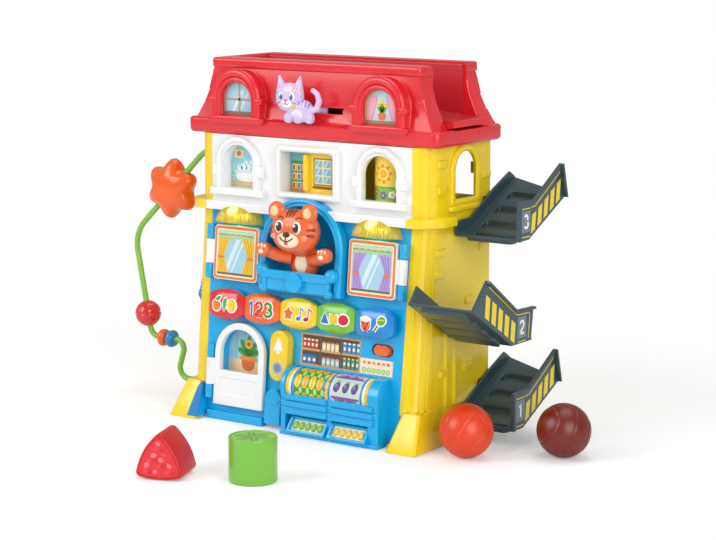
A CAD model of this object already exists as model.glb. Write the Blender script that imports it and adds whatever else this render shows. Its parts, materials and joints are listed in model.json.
# Activity house: the finish of its mouldings, its printed labels and its rounded shapes.
import json
import math
import bmesh
import bpy
import numpy as np
from mathutils import Euler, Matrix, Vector


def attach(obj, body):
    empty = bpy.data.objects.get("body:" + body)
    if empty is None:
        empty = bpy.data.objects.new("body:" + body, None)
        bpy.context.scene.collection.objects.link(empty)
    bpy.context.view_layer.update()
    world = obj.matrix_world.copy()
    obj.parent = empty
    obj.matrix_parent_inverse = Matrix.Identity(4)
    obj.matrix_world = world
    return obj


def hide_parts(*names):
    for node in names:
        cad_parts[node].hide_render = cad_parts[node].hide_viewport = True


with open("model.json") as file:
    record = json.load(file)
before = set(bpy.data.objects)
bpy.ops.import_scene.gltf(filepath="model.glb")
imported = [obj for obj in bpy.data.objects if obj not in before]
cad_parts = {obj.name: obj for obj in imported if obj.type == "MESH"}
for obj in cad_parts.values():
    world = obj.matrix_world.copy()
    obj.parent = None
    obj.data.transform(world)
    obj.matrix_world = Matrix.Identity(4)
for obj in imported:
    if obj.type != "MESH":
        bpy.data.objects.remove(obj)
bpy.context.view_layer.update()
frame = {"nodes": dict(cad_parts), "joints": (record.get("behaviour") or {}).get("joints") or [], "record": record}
nodes = frame["nodes"]
joints = {j["name"]: j for j in frame["joints"]}
bodyOf = {n: b for b, members in frame["record"]["behaviour"]["bodies"].items() for n in members}
slotOf = {p["node"]: p["material_slot"] for p in frame["record"]["subparts"]}
mm = 0.001
print("frame loaded:", len(nodes), "nodes")

# The photograph's view: a long lens, to the right of the front and a little above it
view = {"azimuth": 35.0, "pitch": 9.63, "target": (16.7, 0, 147.7), "distance": 2005.2,
        "focalPixels": 2067.7, "frameWidth": 716, "sensor": 36.0}


def makeCamera():
    a = math.radians(view["azimuth"])
    e = math.radians(view["pitch"])
    back = Vector((math.sin(a) * math.cos(e), -math.cos(a) * math.cos(e), math.sin(e)))
    data = bpy.data.cameras.new("camera")
    data.sensor_width = view["sensor"]
    data.lens = view["focalPixels"] / view["frameWidth"] * view["sensor"]
    data.clip_start = 0.05
    data.clip_end = 50
    camera = bpy.data.objects.new("camera", data)
    bpy.context.scene.collection.objects.link(camera)
    camera.location = (Vector(view["target"]) + back * view["distance"]) * mm
    camera.rotation_euler = (-back).to_track_quat("-Z", "Y").to_euler()
    bpy.context.scene.camera = camera


makeCamera()
print("camera set")


# Materials

def linear(hexColour):
    # sRGB hex to linear red, green, blue and alpha
    c = np.array([int(hexColour[i:i + 2], 16) for i in (1, 3, 5)]) / 255
    c = np.where(c <= 0.04045, c / 12.92, ((c + 0.055) / 1.055) ** 2.4)
    return (*c.tolist(), 1.0)


def addNode(tree, kind, settings=None, inputs=None):
    node = tree.nodes.new(kind)
    for key, value in (settings or {}).items():
        setattr(node, key, value)
    for key, value in (inputs or {}).items():
        if isinstance(value, bpy.types.NodeSocket):
            tree.links.new(value, node.inputs[key])
        else:
            node.inputs[key].default_value = value
    return node


def shade(hexColour, factor):
    # the same hue, darker below 1 and lighter above it, still in linear
    return (*[min(1.0, c * factor) for c in linear(hexColour)[:3]], 1.0)


def emptyMaterial(name):
    made = bpy.data.materials.new(name)
    made.use_nodes = True
    made.node_tree.nodes.clear()
    return made, made.node_tree


def mouldedAbs(name, hexColour, roughness=0.26, grain=1.4, relief=0.012, drift=0.04, coat=0.3):
    # Injection moulded ABS: even colour with a faint flow drift, and a fine spark-eroded grain in the gloss.
    # The real grain is about 0.1 mm; it is drawn at 1.4 mm so that it shows.
    made, tree = emptyMaterial(name)
    place = addNode(tree, "ShaderNodeTexCoord").outputs["Object"]
    flow = addNode(tree, "ShaderNodeTexNoise", None, {"Vector": place, "Scale": 1 / 0.06, "Detail": 3.0})
    tone = addNode(tree, "ShaderNodeValToRGB", None, {"Fac": flow.outputs["Fac"]})
    tone.color_ramp.elements[0].position = 0.3
    tone.color_ramp.elements[0].color = shade(hexColour, 1 - drift)
    tone.color_ramp.elements[1].position = 0.7
    tone.color_ramp.elements[1].color = shade(hexColour, 1 + drift)
    fine = addNode(tree, "ShaderNodeTexNoise", None,
                   {"Vector": place, "Scale": 1 / (grain * mm), "Detail": 2.0})
    gloss = addNode(tree, "ShaderNodeMapRange", None,
                    {"Value": fine.outputs["Fac"], "To Min": roughness - 0.04, "To Max": roughness + 0.04})
    bump = addNode(tree, "ShaderNodeBump", None,
                   {"Height": fine.outputs["Fac"], "Strength": relief, "Distance": 0.0004})
    shader = addNode(tree, "ShaderNodeBsdfPrincipled", None,
                     {"Base Color": tone.outputs["Color"], "Roughness": gloss.outputs["Result"],
                      "Normal": bump.outputs["Normal"], "IOR": 1.54, "Coat Weight": coat,
                      "Coat Roughness": 0.12})
    addNode(tree, "ShaderNodeOutputMaterial", None, {"Surface": shader.outputs["BSDF"]})
    return made


def platedSteel():
    # Zinc plated steel: grey metal with short turning marks that stretch the highlight
    made, tree = emptyMaterial("zincPlatedSteel")
    place = addNode(tree, "ShaderNodeTexCoord").outputs["Object"]
    marks = addNode(tree, "ShaderNodeTexNoise", None,
                    {"Vector": place, "Scale": 1 / (0.8 * mm), "Detail": 4.0})
    gloss = addNode(tree, "ShaderNodeMapRange", None,
                    {"Value": marks.outputs["Fac"], "To Min": 0.22, "To Max": 0.42})
    bump = addNode(tree, "ShaderNodeBump", None,
                   {"Height": marks.outputs["Fac"], "Strength": 0.08, "Distance": 0.0003})
    shader = addNode(tree, "ShaderNodeBsdfPrincipled", None,
                     {"Base Color": linear("#b9bdc2"), "Metallic": 1.0, "Roughness": gloss.outputs["Result"],
                      "Normal": bump.outputs["Normal"]})
    addNode(tree, "ShaderNodeOutputMaterial", None, {"Surface": shader.outputs["BSDF"]})
    return made


def printedVinyl():
    # Screen printed vinyl label: inks in the piece's own tint, a smooth film with a slight orange peel
    made, tree = emptyMaterial("printedVinyl")
    place = addNode(tree, "ShaderNodeTexCoord").outputs["Object"]
    ink = addNode(tree, "ShaderNodeAttribute", {"attribute_name": "tint"})
    peel = addNode(tree, "ShaderNodeTexNoise", None,
                   {"Vector": place, "Scale": 1 / (2.5 * mm), "Detail": 2.0})
    lay = addNode(tree, "ShaderNodeMapRange", None,
                  {"Value": peel.outputs["Fac"], "To Min": 0.94, "To Max": 1.05})
    tone = addNode(tree, "ShaderNodeVectorMath", {"operation": "SCALE"},
                   {"Vector": ink.outputs["Color"], "Scale": lay.outputs["Result"]})
    bump = addNode(tree, "ShaderNodeBump", None,
                   {"Height": peel.outputs["Fac"], "Strength": 0.04, "Distance": 0.0003})
    shader = addNode(tree, "ShaderNodeBsdfPrincipled", None,
                     {"Base Color": tone.outputs["Vector"], "Roughness": 0.34,
                      "Normal": bump.outputs["Normal"], "IOR": 1.5})
    addNode(tree, "ShaderNodeOutputMaterial", None, {"Surface": shader.outputs["BSDF"]})
    return made


def tintedPolycarbonate(name, hexColour, roughness, glow, lamp=None):
    # Clear polycarbonate with dye in it: light passes and scatters a little in its thickness.
    # A lamp, given on the right half in metres, lights up the material near it and near its mirror image.
    made, tree = emptyMaterial(name)
    place = addNode(tree, "ShaderNodeTexCoord").outputs["Object"]
    swirl = addNode(tree, "ShaderNodeTexNoise", None,
                    {"Vector": place, "Scale": 1 / (9 * mm), "Detail": 2.0})
    gloss = addNode(tree, "ShaderNodeMapRange", None,
                    {"Value": swirl.outputs["Fac"], "To Min": roughness * 0.7, "To Max": roughness * 1.3})
    shader = addNode(tree, "ShaderNodeBsdfPrincipled", None,
                     {"Base Color": linear(hexColour), "Roughness": gloss.outputs["Result"], "IOR": 1.58,
                      "Transmission Weight": 0.5, "Emission Color": linear("#fff3a8"),
                      "Emission Strength": glow})
    if lamp:
        mirrored = addNode(tree, "ShaderNodeVectorMath", {"operation": "ABSOLUTE"}, {0: place})
        away = addNode(tree, "ShaderNodeVectorMath", {"operation": "DISTANCE"},
                       {0: mirrored.outputs["Vector"], 1: [abs(c) for c in lamp]})
        halo = addNode(tree, "ShaderNodeMapRange", {"interpolation_type": "SMOOTHERSTEP"},
                       {"Value": away.outputs["Value"], "From Min": 1.5 * mm, "From Max": 8 * mm,
                        "To Min": 1.8, "To Max": glow})
        tree.links.new(halo.outputs["Result"], shader.inputs["Emission Strength"])
    addNode(tree, "ShaderNodeOutputMaterial", None, {"Surface": shader.outputs["BSDF"]})
    return made


yellowAbs = mouldedAbs("mouldedAbsYellow", "#f8d813")
blueAbs = mouldedAbs("mouldedAbsBlue", "#02ace8")
whiteAbs = mouldedAbs("mouldedAbsWhite", "#f2f3f3", drift=0.02)
redAbs = mouldedAbs("mouldedAbsRed", "#e01f2a")
channelAbs = mouldedAbs("mouldedAbsChannelRed", "#c41d28", roughness=0.38)
slateAbs = mouldedAbs("mouldedAbsSlate", "#2b454d", roughness=0.4)
keyRed = mouldedAbs("glossAbsRed", "#df1f2b", roughness=0.18, coat=0.5)
keyOrange = mouldedAbs("glossAbsOrange", "#f0641f", roughness=0.18, coat=0.5)
keyYellow = mouldedAbs("glossAbsYellow", "#f4d01c", roughness=0.18, coat=0.5)
keyGreen = mouldedAbs("glossAbsGreen", "#79c03a", roughness=0.18, coat=0.5)
keyBlue = mouldedAbs("glossAbsBlue", "#108ad8", roughness=0.18, coat=0.5)
cubOrange = mouldedAbs("glossAbsCubOrange", "#ef6a35", roughness=0.25)
catLilac = mouldedAbs("glossAbsLilac", "#d6c3ea", roughness=0.28)
blockRed = mouldedAbs("mouldedAbsBlockRed", "#cf0d17", roughness=0.34, coat=0.05)
skirtBlue = mouldedAbs("mouldedAbsSkirtBlue", "#0080c6", roughness=0.62, coat=0)
starOrange = mouldedAbs("glossAbsStar", "#f4600f", roughness=0.22, coat=0.4)
ballOrange = mouldedAbs("blownPolyethyleneOrange", "#e33d0c", roughness=0.34, coat=0.05)
ballBrown = mouldedAbs("blownPolyethyleneBrown", "#741803", roughness=0.34, coat=0.05)
wireGreen = mouldedAbs("extrudedPvcGreen", "#84c240", roughness=0.3)
boardGreen = mouldedAbs("solderMaskGreen", "#2f6b3c", roughness=0.35)
padGrey = mouldedAbs("siliconeRubberGrey", "#c6c8c9", roughness=0.7)
blackAbs = mouldedAbs("mouldedAbsBlack", "#27282c", roughness=0.5)
cellBlue = mouldedAbs("shrinkSleeveBlue", "#4a6fa5", roughness=0.25)
cardStock = mouldedAbs("printedCardStock", "#d9d4ba", roughness=0.6)
steel = platedSteel()
vinyl = printedVinyl()
domeAmber = tintedPolycarbonate("tintedPolycarbonateAmber", "#e3c516", 0.1, 0.05, (0.081, -0.071, 0.2059))
lampClear = tintedPolycarbonate("clearPolycarbonateLamp", "#fff3c4", 0.2, 6.0)

finishes = {
    "yellow_shell": yellowAbs, "blue_shell": blueAbs, "white_shell": whiteAbs, "red_shell": redAbs,
    "slate_plastic": slateAbs, "red_plastic": keyRed, "orange_plastic": keyOrange,
    "yellow_plastic": keyYellow, "green_plastic": keyGreen, "blue_plastic": keyBlue,
    "cub_orange": cubOrange, "cat_lilac": catLilac, "roller_print": whiteAbs, "drum_print": keyYellow,
    "amber_dome": domeAmber, "clear_lamp": lampClear, "printed_card": cardStock,
    "brown_plastic": ballBrown, "steel": steel, "board_green": boardGreen, "pad_rubber": padGrey,
    "speaker_black": blackAbs, "cell_wrap": cellBlue}
special = {"trough": channelAbs, "star_bead": starOrange, "bead_wire": wireGreen, "red_ball": ballOrange}


def finishOf(node):
    return special.get(node, finishes[slotOf[node]])


for name, node in nodes.items():
    node.data.materials.clear()
    node.data.materials.append(finishOf(name))
print("materials made:", len(bpy.data.materials))


# Shapes: each is a grid of points in millimetres, rows by columns, that closes along its columns and has its
# first and last rows drawn together to a point, so that it is a closed skin

def stack(x, y, z):
    return np.stack(np.broadcast_arrays(x, y, z), -1)


def quadsOf(rows, cols, start):
    i, j = np.meshgrid(np.arange(rows - 1), np.arange(cols), indexing="ij")
    k = (j + 1) % cols
    low, high = i * cols, (i + 1) * cols
    return start + np.stack([low + j, low + k, high + k, high + j], -1).reshape(-1, 4)


def piece(name, grids, material, body, tints=None, replaced=(), crease=38):
    starts = np.cumsum([0] + [g.shape[0] * g.shape[1] for g in grids])
    quads = [quadsOf(g.shape[0], g.shape[1], s) for g, s in zip(grids, starts)]
    mesh = bpy.data.meshes.new(name)
    mesh.from_pydata(np.concatenate([g.reshape(-1, 3) for g in grids]) * mm, [], np.concatenate(quads))
    if tints is not None:
        inks = np.repeat(np.array(tints), [4 * len(q) for q in quads], axis=0)
        mesh.color_attributes.new("tint", "FLOAT_COLOR", "CORNER").data.foreach_set("color", inks.ravel())
    bm = bmesh.new()
    bm.from_mesh(mesh)
    bmesh.ops.remove_doubles(bm, verts=bm.verts, dist=1e-6)
    bmesh.ops.recalc_face_normals(bm, faces=bm.faces)
    bm.to_mesh(mesh)
    bm.free()
    mesh.shade_smooth()
    mesh.set_sharp_from_angle(angle=math.radians(crease))
    made = bpy.data.objects.new(name, mesh)
    bpy.context.scene.collection.objects.link(made)
    mesh.materials.append(material)
    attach(made, body)
    if replaced:
        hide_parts(*replaced)
    return made


def angles(rows, cols):
    # latitude down the rows, from pole to pole, and longitude along the columns
    t = np.linspace(-math.pi / 2, math.pi / 2, rows)[:, None]
    p = np.linspace(0, 2 * math.pi, cols, endpoint=False)[None, :]
    return t, p


def blob(place, centre, half, power=2.0, rows=20, cols=32):
    # Superellipsoid: signed powers of sine and cosine give an egg at 2 and a soft box above it
    def bent(v):
        return np.sign(v) * np.abs(v) ** (2 / power)
    t, p = angles(rows, cols)
    u = centre[0] + half[0] * bent(np.cos(t)) * bent(np.cos(p))
    w = centre[1] + half[1] * bent(np.cos(t)) * bent(np.sin(p))
    h = centre[2] + half[2] * bent(np.sin(t)) * np.ones_like(p)
    return place(u, w, h)


def tube(path, radius, cols=14):
    # Round section of the given radius swept along a path of points, closed at both ends
    radius = np.broadcast_to(radius, len(path))
    ahead = np.gradient(path, axis=0)
    ahead = ahead / np.linalg.norm(ahead, axis=1, keepdims=True)
    side = np.cross(ahead, np.array([0.31, 0.86, 0.4]))
    side = side / np.linalg.norm(side, axis=1, keepdims=True)
    over = np.cross(ahead, side)
    a = np.linspace(0, 2 * math.pi, cols, endpoint=False)
    ring = np.cos(a)[None, :, None] * side[:, None] + np.sin(a)[None, :, None] * over[:, None]
    skin = path[:, None] + radius[:, None, None] * ring
    return np.concatenate([np.repeat(path[:1, None], cols, 1), skin, np.repeat(path[-1:, None], cols, 1)])


# Outlines and paths, in millimetres on a flat face

def arc(x, y, rx, ry, start, end, count=24):
    a = np.radians(np.linspace(start, end, count))
    return np.stack([x + rx * np.cos(a), y + ry * np.sin(a)], -1)


def ellipse(x, y, rx, ry=None, turn=0, count=36):
    a = np.linspace(0, 2 * math.pi, count, endpoint=False)
    flat = np.stack([rx * np.cos(a), (rx if ry is None else ry) * np.sin(a)], -1)
    c, s = math.cos(math.radians(turn)), math.sin(math.radians(turn))
    return flat @ np.array([[c, s], [-s, c]]) + [x, y]


def roundRect(x, y, w, h, r):
    corners = [arc(x + sx * (w / 2 - r), y + sy * (h / 2 - r), r, r, a, a + 90, 7)
               for sx, sy, a in ((1, 1, 0), (-1, 1, 90), (-1, -1, 180), (1, -1, 270))]
    return np.concatenate(corners)


def archOutline(x, base, w, h):
    return np.concatenate([arc(x, base + h - w / 2, w / 2, w / 2, 0, 180, 40),
                           [[x - w / 2, base], [x + w / 2, base]]])


def softPolygon(points, rounds=3):
    # Corner cutting: each round replaces a corner by points a quarter along its two sides
    p = np.array(points, float)
    for _ in range(rounds):
        q = np.roll(p, -1, 0)
        p = np.stack([0.75 * p + 0.25 * q, 0.25 * p + 0.75 * q], 1).reshape(-1, 2)
    return p


def densePath(points, count=40):
    # Points spread evenly along a polyline
    p = np.array(points, float)
    reach = np.concatenate([[0], np.cumsum(np.linalg.norm(np.diff(p, axis=0), axis=1))])
    t = np.linspace(0, reach[-1], count)
    return np.stack([np.interp(t, reach, p[:, k]) for k in range(p.shape[1])], -1)


digits = {
    1: densePath([[-1.8, 3.1], [0.5, 5], [0.5, -5]], 24),
    2: np.concatenate([arc(0, 2.1, 2.8, 2.9, 165, -35, 20), [[-2.9, -4.6], [-2.4, -5], [3.1, -5]]]),
    3: np.concatenate([arc(-0.2, 2.4, 2.5, 2.6, 155, -75, 18), arc(0, -2.2, 2.9, 2.8, 75, -155, 20)])}

# Print: thin closed islands of film, one above another, each in its own ink
film = {"base": 0.05, "step": 0.07}


def filmTop(layer):
    return film["base"] + film["step"] * (layer + 1)


def patch(outline, place, layer, colour, rings=3, centre=None):
    # Filled outline: rings shrink to its middle below, and again above
    middle = outline.mean(0) if centre is None else np.array(centre)
    reach = np.linspace(0, 1, rings + 1)
    s = np.concatenate([reach, reach[::-1]])[:, None, None]
    spread = middle + s * (outline - middle)
    height = np.repeat([film["base"], filmTop(layer)], rings + 1)[:, None]
    return place(spread[..., 0], spread[..., 1], height), linear(colour)


def ribbon(left, right, place, layer, colour, steps=2):
    # Band between two edges: a flat section of the film carried along them
    left, right = np.array(left, float), np.array(right, float)
    s = np.linspace(0, 1, steps)
    s = np.concatenate([s, s[::-1]])[None, :, None]
    spread = left[:, None] * (1 - s) + right[:, None] * s
    ends = (left + right)[[0, -1], None] / 2 * np.ones((1, 2 * steps, 1))
    spread = np.concatenate([ends[:1], spread, ends[1:]])
    height = np.repeat([filmTop(layer), film["base"]], steps)[None, :] * np.ones((len(spread), 1))
    height[[0, -1]] = (filmTop(layer) + film["base"]) / 2
    return place(spread[..., 0], spread[..., 1], height), linear(colour)


def line(path, width, place, layer, colour):
    path = np.array(path, float)
    ahead = np.gradient(path, axis=0)
    ahead = ahead / np.linalg.norm(ahead, axis=1, keepdims=True)
    side = np.stack([-ahead[:, 1], ahead[:, 0]], -1) * width / 2
    return ribbon(path + side, path - side, place, layer, colour)


def shine(foot, tip, width, place, layer, colour):
    # slanting streak of light on a pane
    edge = np.array([foot, tip], float)
    return ribbon(edge, edge + [width, 0], place, layer, colour)


def egg(place, centre, half, colour):
    return blob(place, centre, half), linear(colour)


def label(name, layers, body):
    # one piece from shapes that each come with an ink
    return piece(name, [g for g, _ in layers], vinyl, body, [c for _, c in layers])


# Faces that pieces are laid on: u to the right and w up on the face, h out of it

sashPin = {"x": 113.4, "inward": -5.0, "up": 164.0}
frontUp = np.array(joints["right_sash_swing"]["axis"])
frontIn = np.array(joints["red_key_press"]["axis"])
frontFoot = (np.array(joints["right_sash_swing"]["pos_m"]) / mm - [sashPin["x"], 0, 0]
             - sashPin["inward"] * frontIn - sashPin["up"] * frontUp)


def onFront(x, out, v):
    x, out, v = (np.asarray(q, float)[..., None] for q in np.broadcast_arrays(x, out, v))
    return frontFoot + x * np.array([1, 0, 0]) - out * frontIn + v * frontUp


def leaning(out, x=0, v=0):
    return lambda u, w, h: onFront(x + u, out + h, v + w)


def upright(y, x=0, z=0):
    return lambda u, w, h: stack(x + u, y - h, z + w)


def rightWall(x, y=0, z=0):
    return lambda u, w, h: stack(x + h, y + u, z + w)


def flat(x=0, y=0, z=0):
    return lambda u, w, h: stack(x + u, y + w, z + h)


def pad(outline, place, thick, rings=7, centre=None):
    # Raised pad: full height in the middle, rounded off to the face at its rim, with a sunk underside
    middle = outline.mean(0) if centre is None else np.array(centre)
    reach = np.linspace(0, 1, rings + 1)
    s = np.concatenate([reach, reach[::-1]])
    height = np.concatenate([thick * np.sqrt(np.clip(1 - reach ** 4, 0, 1)), np.full(rings + 1, -0.3)])
    spread = middle + s[:, None, None] * (outline - middle)
    return place(spread[..., 0], spread[..., 1], height[:, None])


# Window sashes: printed curtains behind glass
sashLabel = {"floor": 7.4, "x": 80, "v": 164, "size": (52.2, 51.2), "edge": 21.3, "top": 19, "fall": 39,
             "waist": 0.6, "tied": 7, "orange": "#e5813a", "cream": "#fbeac4", "pane": "#a9d3e4",
             "streak": "#d4ecf4", "blind": "#c3dfb2", "hem": "#86b878", "sill": "#75644f",
             "cloth": {"left_sash": "#f5c62a", "right_sash": "#b79cda"},
             "fold": {"left_sash": "#d79a1c", "right_sash": "#8f74b8"}}


def sashPrint(body, side):
    place = leaning(sashLabel["floor"], side * sashLabel["x"], sashLabel["v"])
    width, height = sashLabel["size"]
    edge, waist, tied, top, fall = (sashLabel[k] for k in ("edge", "waist", "tied", "top", "fall"))
    layers = [patch(roundRect(0, 0, width, height, 3.4), place, 0, sashLabel["orange"]),
              patch(roundRect(0, 0, width - 5, height - 5, 1.8), place, 1, sashLabel["cream"]),
              patch(roundRect(0, 0, width - 8, height - 8, 1), place, 2, sashLabel["pane"])]
    layers += [shine([a - 9, -top], [a + 8, top], w, place, 3, sashLabel["streak"])
               for a, w in ((-5, 5), (3, 2.2))]
    # a curtain narrows by a power of the height to its waist, where it is tied, and widens again below
    t = np.linspace(0, 1, 24)
    reach = np.where(t < waist, tied + 12 * np.clip(1 - t / waist, 0, 1) ** 1.6,
                     tied + 6 * np.clip((t - waist) / (1 - waist), 0, 1) ** 0.7)
    for s in (-1, 1):
        curtain = [np.stack([s * (edge - reach * f), top - fall * t], -1) for f in (0, 0.25, 0.5, 0.75, 1)]
        layers.append(ribbon(curtain[0], curtain[4], place, 5, sashLabel["cloth"][body]))
        layers += [line(c[1:-1], 0.8, place, 6, sashLabel["fold"][body]) for c in curtain[1:4]]
        layers.append(patch(ellipse(s * 17.6, top - fall * waist, 4.2, 1.4), place, 7, sashLabel["orange"]))
    scallops = np.linspace(-17.9, 17.9, 6)
    layers.append(patch(roundRect(0, 18.6, 43, 4.6, 0.8), place, 8, sashLabel["blind"]))
    layers += [patch(ellipse(x, 16.2, 3.6, 2.6), place, 8, sashLabel["blind"]) for x in scallops]
    layers += [line(arc(x, 16.4, 3, 2, 200, 340, 10), 0.6, place, 9, sashLabel["hem"]) for x in scallops]
    layers.append(patch(roundRect(0, -20.2, 42.8, 1.8, 0.4), place, 9, sashLabel["sill"]))
    label(body + "_print", layers, body)


sashPrint("left_sash", -1)
sashPrint("right_sash", 1)

# Press keys: a white-edged picture on each barrel-shaped cap
keyPrint = {"pitch": 43.6, "v": 114, "roll": 19, "rollIn": 4, "bow": 50, "bowIn": 36, "outline": "#f7f5ee",
            "margin": 1.1, "blue": "#1c7cc6", "green": "#5ab04a", "yellow": "#f4c62c", "red": "#d2273a",
            "crimson": "#c92136"}


def onKey(i):
    k = keyPrint

    def place(u, w, h):
        # the cap is the common part of a roll across and a bow along the row
        roll = np.sqrt(k["roll"] ** 2 - w ** 2) - k["rollIn"]
        bow = np.sqrt(k["bow"] ** 2 - u ** 2) - k["bowIn"]
        return onFront(i * k["pitch"] + u, np.minimum(roll, bow) + h, k["v"] + w)
    return place


def edged(outline, place, colour, border=1.3, layer=0):
    # a shape with a white border round it
    middle = outline.mean(0)
    away = outline - middle
    wide = middle + away * (1 + border / np.linalg.norm(away, axis=1, keepdims=True))
    return [patch(wide, place, layer, keyPrint["outline"], 4), patch(outline, place, layer + 1, colour, 4)]


def stroke(path, place, colour, width, layer=0):
    # a line with a white margin on both sides
    return [line(path, width + 2 * keyPrint["margin"], place, layer, keyPrint["outline"]),
            line(path, width, place, layer + 1, colour)]


def produceKey(place):
    layers = edged(ellipse(-9, -1.5, 5.6, 5.2), place, "#f08a24")
    layers += edged(ellipse(-6.5, 5.6, 3.6, 1.7, 28), place, "#4e9e3a", layer=2)
    layers += edged(softPolygon([[-1, 5.5], [5, 7], [3.2, -2], [0.6, -8]]), place, keyPrint["green"])
    layers += edged(ellipse(9.5, -0.5, 4.6, 6), place, "#f6d43a", layer=2)
    layers += [line(arc(9.5, -0.5, 2.2, 6, -80, 80, 14), 0.6, place, 4, "#c99a1e"),
               line(densePath([[-10.5, 1], [-7.5, 1]], 6), 0.7, place, 3, "#c05f12")]
    return layers


def numberKey(place):
    layers = []
    for n, x, colour in ((1, -10, keyPrint["blue"]), (2, -0.2, keyPrint["crimson"]), (3, 10, "#2a9a48")):
        layers += stroke(digits[n] * 1.25 + [x, 0], place, colour, 2.5)
    return layers


def musicKey(place):
    turn = np.radians(90 + 36 * np.arange(10))
    tips = np.stack([np.cos(turn), np.sin(turn)], -1) * np.tile([7.4, 3.6], 5)[:, None]
    layers = edged(softPolygon(tips + [-9, -0.6], 2), place, "#ee6a24")
    for x, colour in ((3.5, keyPrint["blue"]), (11.5, keyPrint["crimson"])):
        layers += edged(ellipse(x, -4, 2.6, 2, 20), place, colour, 1.0)
        layers += stroke(densePath([[x + 2.1, -3.6], [x + 2.1, 5.4]], 8), place, colour, 1.0)
        layers += stroke(arc(x + 2.1, 2.4, 3.4, 3.1, 88, 20, 8), place, colour, 1.2)
    return layers


def shapeKey(place):
    triangle = densePath([[-15.5, -5], [-4.6, -5], [-10, 5.6], [-15.5, -5]], 31)[:-1]
    layers = edged(triangle, place, keyPrint["blue"])
    layers += edged(roundRect(0.5, 0, 8.6, 8.6, 0.8), place, keyPrint["yellow"])
    return layers + edged(ellipse(11, 0, 4.9), place, keyPrint["red"])


def drumKey(place):
    drum = softPolygon([[-13, 4], [-1, 4], [-2.2, -6.5], [-11.8, -6.5]], 1)
    layers = edged(drum, place, keyPrint["red"])
    layers += edged(ellipse(-7, 4.2, 6.4, 2.1), place, "#fdf3d8", 0.9, layer=2)
    lacing = [[-12, 1], [-9.6, -5], [-7, 1], [-4.4, -5], [-2, 1]]
    layers.append(line(lacing, 0.9, place, 4, keyPrint["yellow"]))
    layers += stroke(densePath([[3, -6.5], [8, 1]], 8), place, "#8a5a2c", 1.5)
    layers += edged(ellipse(10.3, 3.8, 3.7, 4.3, -32), place, keyPrint["green"], layer=2)
    layers.append(line(arc(10.3, 3.8, 3.2, 1.1, 160, 20, 10), 0.9, place, 4, "#f6e24a"))
    return layers


keyRow = {"red_key": (-2, produceKey), "orange_key": (-1, numberKey), "yellow_key": (0, musicKey),
          "green_key": (1, shapeKey), "blue_key": (2, drumKey)}
for name, (spot, picture) in keyRow.items():
    label(name + "_print", picture(onKey(spot)), name)

# Bell button: a raised white bell above a grey sounder disc
bellButton = {"x": -21.5, "v": 71, "face": 9.5, "disc": -11.5, "slits": (-1.4, -0.5, 0.5, 1.4),
              "halfBell": ((-6.4, 4.2), (-4.6, 6.8), (-4, 12), (-2.4, 15.2))}


def bellRelief():
    place = leaning(bellButton["face"], bellButton["x"], bellButton["v"])
    half = np.array(bellButton["halfBell"])
    bell = softPolygon(np.concatenate([half, half[::-1] * [-1, 1]]))
    grids = [pad(bell, place, 1.5), pad(ellipse(0, 3.2, 2.1, 1.7), place, 1.1),
             pad(ellipse(0, 16, 1.4), place, 1.3)]
    piece("bell_relief", grids, whiteAbs, "bell_button")
    low = bellButton["disc"]
    layers = [patch(ellipse(0, low, 6.6), place, 1, "#c9ced2"),
              patch(ellipse(0, low, 5.3), place, 3, "#9aa3aa")]
    for k in bellButton["slits"]:
        slit = [[-3.6 + abs(k), low + 1.7 * k], [3.6 - abs(k), low + 1.7 * k]]
        layers.append(line(densePath(slit, 4), 0.8, place, 4, "#5d666d"))
    label("bell_disc", layers, "bell_button")


bellRelief()

# Picture behind the door: a potted plant in a hall
doorPicture = {"x": -70, "v": 20.2, "out": -8.0, "root": (0, 43), "flower": (0, 55),
               "leaves": ((-62, 15), (-32, 19), (0, 21), (32, 19), (62, 15))}


def doorPrint():
    place = leaning(doorPicture["out"], doorPicture["x"], doorPicture["v"])
    layers = [patch(archOutline(0, 0.4, 48.8, 71.6), place, 0, "#a9dbe9", 3, (0, 40)),
              patch(roundRect(0, 22, 48.6, 34, 0.5), place, 1, "#f2dcae")]
    layers += [line(densePath([[x, 40], [x, 71 - 0.03 * x * x]], 8), 2.2, place, 1, "#8fcbdd")
               for x in (-15, -5, 5, 15)]
    layers.append(patch(softPolygon([[-9, 41], [9, 41], [6.5, 29], [-6.5, 29]], 1), place, 3, "#e0702c"))
    layers.append(patch(roundRect(0, 41, 20, 4, 1), place, 4, "#f0914a"))
    root = np.array(doorPicture["root"])
    for turn, reach in doorPicture["leaves"]:
        a = math.radians(90 - turn)
        tip = np.array([math.cos(a), math.sin(a)])
        leaf = ellipse(*(root + tip * reach / 2), reach / 2, 3.2, 90 - turn)
        layers.append(patch(leaf, place, 2, "#4fa548"))
        layers.append(line(densePath([root, root + tip * reach * 0.85], 6), 0.7, place, 5, "#2f7a34"))
    layers.append(patch(ellipse(*doorPicture["flower"], 4.4), place, 6, "#f3b52c"))
    layers.append(patch(ellipse(*doorPicture["flower"], 2), place, 7, "#a3521c"))
    label("door_picture", layers, "house")


doorPrint()

# Shelf picture beside the bell: jars, boxes and bottles, and a strip of greens
shelfPicture = {"middle": (33, 80.5), "size": (69, 31), "boards": (80.6, 66.2), "dividers": (21.5, 45.5),
                "strip": (86, 72.5, 36.6, 14.6), "greens": (72.4, 5.4, 6), "wood": "#d0a566",
                "shade": "#5a4335", "tag": "#f7efd8", "signs": ("#e2985a", "#d8735c")}


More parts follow.
